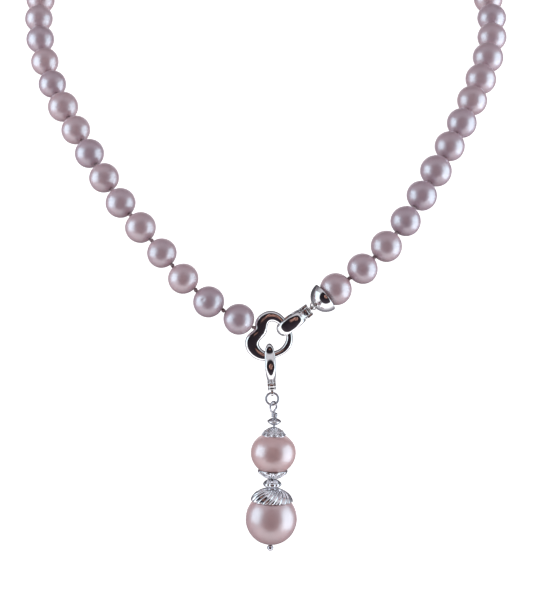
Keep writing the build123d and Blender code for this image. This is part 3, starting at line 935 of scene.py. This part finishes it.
def swirl_surface(lift, ribbed):
    """The (radius, height) line of the cap and how far each point stands out as a rib."""
    rows_of = []
    for k, (r, h) in enumerate(swirl_line):
        before, after = swirl_line[max(k - 1, 0)], swirl_line[min(k + 1, len(swirl_line) - 1)]
        along = unit(after - before)
        normal = np.array([-along[1], along[0]])
        if normal[1] < 0:
            normal = -normal
        s = k / (len(swirl_line) - 1)
        rows_of.append((r + normal[0] * lift, h + normal[1] * lift, normal, along, s, ribbed))
    return rows_of


def swirl_cap():
    """A domed cap with curved ribs and a scalloped rim."""
    steps = SWIRL_RIBS * 14
    around = []
    for i in range(steps):
        angle = 2 * math.pi * i / steps
        ring = []
        for surface in (swirl_surface(0.0, True), list(reversed(swirl_surface(-0.32, False)))):
            for r, h, normal, along, s, ribbed in surface:
                phase = (angle * SWIRL_RIBS / (2 * math.pi)) % 1.0
                crest = math.sin(math.pi * phase) ** 0.8
                swing = -SWIRL_TURN * s ** 1.3
                lift = 0.42 * (crest - 0.55) * min(1.0, 3.0 * s) if ribbed else 0.0
                reach = 0.22 * (crest - 0.5) * s**4
                rr = r + normal[0] * lift + along[0] * reach
                hh = h + normal[1] * lift + along[1] * reach
                ring.append(on_pin(rr, hh, angle + swing))
        around.append(np.array(ring))
    return skin(around, around=True)


collar_path = [on_pin(0.95, 16.1, t) for t in np.linspace(0, 2 * math.pi, 48, endpoint=False)]
cap_parts = join(swirl_cap(), wire(collar_path, 0.22 * MM, closed=True))
add_piece("swirl_bead_cap", cap_parts, bright, "lower_pearl_group", ["swirl_cap"], sharp=75)


# ---------------------------------------------------------------- filigree caps
def filigree(line, petals, wire_radius, grain, inward):
    """Petals of wire on a thin dome. The line is the dome's (radius, height) from collar to rim.
    Inward is 1 where the pearl lies above the dome and -1 where it lies below."""
    dome = smooth_line(line, 60)

    def on_dome(s, angle, lift=0.0):
        r = np.interp(s, np.linspace(0, 1, 60), dome[:, 0])
        h = np.interp(s, np.linspace(0, 1, 60), dome[:, 1])
        return on_pin(r, h + lift, angle)

    under = [(r, h + 0.1 * inward) for r, h in dome]
    under += [(r - 0.06, h + 0.26 * inward) for r, h in reversed(dome)]
    parts = [bead(under, 96)]
    spread = math.pi / petals
    for petal in range(petals):
        middle = 2 * spread * petal + 0.3
        for scale, start, end, lift in ((1.0, 0.08, 1.0, 0.0), (0.52, 0.38, 0.86, 0.04)):
            path = []
            for t in np.linspace(0, 2 * math.pi, 40, endpoint=False):
                s = start + (end - start) * (1 - math.cos(t)) / 2
                wide = math.sin(t) * (0.55 + 0.45 * (1 - math.cos(t)) / 2)
                path.append(on_dome(s, middle + spread * scale * 1.02 * wide, lift))
            thickness = wire_radius * MM * (1.0 if scale == 1.0 else 0.7)
            parts.append(wire(path, thickness, closed=True, sides=8))
        seed_place = on_dome(0.64, middle, 0.05)
        half_turn = np.linspace(math.pi, 0, 9)
        round_seed = [(grain * math.sin(a), grain * math.cos(a)) for a in half_turn]
        round_seed[0], round_seed[-1] = (0.0, -grain), (0.0, grain)
        parts.append(turned([(r * MM, h * MM) for r, h in round_seed], seed_place, pin_up, 14))
        between = on_dome(0.97, middle + spread, 0.0)
        small_seed = [(0.8 * r * MM, 0.8 * h * MM) for r, h in round_seed]
        parts.append(turned(small_seed, between, pin_up, 14))
    for radius_at, size in ((0.02, 0.24), (0.14, 0.16)):
        path = [on_dome(radius_at, t) for t in np.linspace(0, 2 * math.pi, 40, endpoint=False)]
        parts.append(wire(path, size * MM, closed=True, sides=10))
    return join(*parts)


top_line = [(0.62, 32.45), (1.3, 32.25), (2.2, 31.65), (2.85, 31.0), (3.1, 30.7)]
bottom_line = [(0.62, 18.95), (1.4, 19.1), (2.5, 19.55), (3.35, 20.2), (3.88, 20.9)]
for name, line, petals, inward, node in (
    ("upper_filigree_cap", top_line, 7, -1, "upper_pearl_top_cap"),
    ("lower_filigree_cap", bottom_line, 8, 1, "upper_pearl_bottom_cap"),
):
    cap = filigree(line, petals, 0.22, 0.26, inward)
    add_piece(name, cap, bright, "upper_pearl_group", [node])

# ---------------------------------------------------------------- turned beads
BEAD_BORE = 0.36


def fluted(r, h, angle):
    """Eight rounded flutes, deepest at the bead's waist."""
    wave = abs(math.cos(4 * angle)) ** 0.7
    deep = max(0.0, (r / MM - 0.9) / 1.5)
    return (r * (1 - 0.08 * deep * (1 - wave)), h)


middle_line = [(0.75, 16.25), (1.45, 16.35), (2.2, 16.8), (2.48, 17.3)]
middle_line += [(2.15, 17.95), (1.35, 18.5), (0.75, 18.65)]
middle_line = smooth_line(middle_line, 28)
middle_profile = [(BEAD_BORE, 18.5), (BEAD_BORE, 16.37)] + [tuple(p) for p in middle_line]
middle_bead = bead(middle_profile, 128, fluted)
add_piece("fluted_middle_bead", middle_bead, bright, "middle_bead", ["middle_bead"], sharp=70)
rondelle_line = [(0.7, 33.32), (1.25, 33.65), (1.78, 34.15), (1.85, 34.35)]
rondelle_line += [(1.66, 34.57), (1.2, 34.9), (0.7, 35.1)]
rondelle_line = smooth_line(rondelle_line, 24)
rondelle_profile = [(BEAD_BORE, 35.05), (BEAD_BORE, 33.37)] + [tuple(p) for p in rondelle_line]
add_piece("top_bicone_bead", bead(rondelle_profile, 48), bright, "top_rondelle", ["top_rondelle"])

# ---------------------------------------------------------------- floor, light and camera
floor_material, floor_nodes, floor_links, floor_shader = new_material("pale_floor", "")
grain = noise_node(floor_nodes, floor_links, 3.0, 3.0)
floor_stops = [(0.3, (0.93, 0.93, 0.93)), (0.7, (0.96, 0.96, 0.96))]
floor_tint = ramp_node(floor_nodes, floor_links, grain.outputs["Fac"], floor_stops)
floor_links.new(floor_tint.outputs["Color"], floor_shader.inputs["Base Color"])
floor_shader.inputs["Roughness"].default_value = 0.9
floor_shader.inputs["Emission Color"].default_value = (1, 1, 1, 1)
floor_shader.inputs["Emission Strength"].default_value = 1.0
FLOOR_HALF = 12.0
FLOOR_DROP = 30 * MM
floor_height = cad_box[0].z - FLOOR_DROP
floor_mesh = bpy.data.meshes.new("floor")
square = ((-1, -1), (1, -1), (1, 1), (-1, 1))
floor_corners = [(x * FLOOR_HALF, y * FLOOR_HALF, floor_height) for x, y in square]
floor_mesh.from_pydata(floor_corners, [], [(0, 1, 2, 3)])
floor_mesh.materials.append(floor_material)
floor = bpy.data.objects.new("floor", floor_mesh)
floor.visible_glossy = False
floor.visible_diffuse = False
bpy.context.scene.collection.objects.link(floor)

CAMERA_DISTANCE = 650 * MM
CAMERA_RISE = math.radians(8)
FRAME_HEIGHT = 161.8 * MM
SENSOR = 36.0
AIM = np.array([0.0, -125 * MM, -103 * MM])
to_camera = np.array([0.0, -math.cos(CAMERA_RISE), math.sin(CAMERA_RISE)])
camera_data = bpy.data.cameras.new("camera")
camera_data.sensor_width = SENSOR
camera_data.lens = SENSOR * CAMERA_DISTANCE / FRAME_HEIGHT
camera_data.clip_start = 0.01
camera = bpy.data.objects.new("camera", camera_data)
camera.location = AIM + to_camera * CAMERA_DISTANCE
camera.rotation_mode = "QUATERNION"
camera.rotation_quaternion = Vector(-to_camera).to_track_quat("-Z", "Y")
bpy.context.scene.collection.objects.link(camera)
bpy.context.scene.camera = camera


def gather(name, wanted):
    """A collection of the pieces whose material is wanted, for a light to fall on."""
    made = bpy.data.collections.new(name)
    for piece in bpy.context.scene.collection.objects:
        if piece.type == "MESH" and piece.data.materials and wanted(piece.data.materials[0]):
            made.objects.link(piece)
    return made


def soft_box(name, place, size, power, colour, receivers):
    """A flat studio light that faces the necklace and falls on the gathered pieces."""
    data = bpy.data.lights.new(name, "AREA")
    data.shape = "RECTANGLE"
    data.size, data.size_y = size
    data.energy = power
    data.color = colour
    lamp = bpy.data.objects.new(name, data)
    lamp.location = place
    lamp.light_linking.receiver_collection = receivers
    lamp.rotation_mode = "QUATERNION"
    lamp.rotation_quaternion = Vector(np.asarray(place) - AIM).to_track_quat("Z", "Y")
    bpy.context.scene.collection.objects.link(lamp)


COOL = (0.72, 0.91, 1.0)
on_pearls = gather("lit_pearls", lambda material: material in (strand_nacre, pendant_nacre, silk))
on_metal = gather("lit_metal", lambda material: material in (polished, bright, wire_silver))
METAL_SHARE = 0.2  # metal mirrors the boxes, so it gets less of their light than nacre
for kind, share, receivers in (("pearl", 1.0, on_pearls), ("metal", METAL_SHARE, on_metal)):
    for side, place, size, power in (
        ("left", (-0.50, -0.26, -0.02), (0.50, 0.50), 3.2),
        ("right", (0.50, -0.20, -0.14), (0.56, 0.70), 4.6),
    ):
        soft_box(f"{side}_{kind}_box", place, size, power * share, COOL, receivers)
soft_box("back_pearl_box", (0.0, 0.55, 0.05), (0.80, 0.80), 1.7, (1.0, 0.98, 1.0), on_pearls)

world = bpy.data.worlds.new("studio")
world.use_nodes = True
bpy.context.scene.world = world
nodes, links = world.node_tree.nodes, world.node_tree.links
nodes.clear()
where = nodes.new("ShaderNodeTexCoord")


def facing(direction):
    """How far the looked-at direction agrees with a given one, from 0, opposite, to 1."""
    dot = nodes.new("ShaderNodeVectorMath")
    dot.operation = "DOT_PRODUCT"
    dot.inputs[1].default_value = tuple(unit(direction))
    links.new(where.outputs["Generated"], dot.inputs[0])
    spread = nodes.new("ShaderNodeMapRange")
    spread.inputs["From Min"].default_value = -1
    links.new(dot.outputs["Value"], spread.inputs["Value"])
    return spread.outputs["Result"]


tent = ramp_node(
    nodes,
    links,
    facing((0.0, -1.0, 0.03)),
    [
        (0.0, (0.17, 0.165, 0.175)),
        (0.12, (0.12, 0.115, 0.130)),
        (0.25, (0.13, 0.125, 0.140)),
        (0.42, (0.34, 0.33, 0.35)),
        (0.60, (0.66, 0.66, 0.68)),
        (0.80, (0.80, 0.80, 0.82)),
        (0.85, (0.03, 0.025, 0.03)),
        (1.0, (0.02, 0.015, 0.02)),
    ],
)
overhead = ramp_node(
    nodes,
    links,
    facing(UP),
    [
        (0.0, (1.0, 1.0, 1.0)),
        (0.25, (0.9, 0.9, 0.91)),
        (0.5, (0.36, 0.36, 0.37)),
        (0.7, (0.33, 0.33, 0.34)),
        (1.0, (0.42, 0.41, 0.43)),
    ],
)


def combined(kind, first, second):
    """Two colours of the studio combined in full."""
    return mix_node(nodes, links, kind, 1.0, first, second)


tent_light = combined("MULTIPLY", tent.outputs["Color"], overhead.outputs["Color"])
warm_way = facing(to_camera + np.array([0.05, 0, 0.06]))
warm_stops = [(0.976, (0.0, 0.0, 0.0)), (0.990, (0.27, 0.14, 0.11))]
warm_blob = ramp_node(nodes, links, warm_way, warm_stops)
patches = nodes.new("ShaderNodeTexNoise")
patches.inputs["Scale"].default_value = 9.0
links.new(where.outputs["Generated"], patches.inputs["Vector"])
patch_stops = [(0.42, (0.05, 0.05, 0.05)), (0.52, (1.0, 1.0, 1.0))]
broken = ramp_node(nodes, links, patches.outputs["Fac"], patch_stops)
warm_side = combined("MULTIPLY", warm_blob.outputs["Color"], broken.outputs["Color"])
studio = combined("ADD", tent_light, warm_side)
seen = nodes.new("ShaderNodeBackground")
seen.inputs["Color"].default_value = (1, 1, 1, 1)
seen.inputs["Strength"].default_value = 1.05
lit = nodes.new("ShaderNodeBackground")
links.new(studio, lit.inputs["Color"])
lit.inputs["Strength"].default_value = 2.3
rays = nodes.new("ShaderNodeLightPath")
pick = nodes.new("ShaderNodeMixShader")
links.new(rays.outputs["Is Camera Ray"], pick.inputs["Fac"])
links.new(lit.outputs["Background"], pick.inputs[1])
links.new(seen.outputs["Background"], pick.inputs[2])
output = nodes.new("ShaderNodeOutputWorld")
links.new(pick.outputs["Shader"], output.inputs["Surface"])

bpy.context.scene.view_settings.view_transform = "Standard"
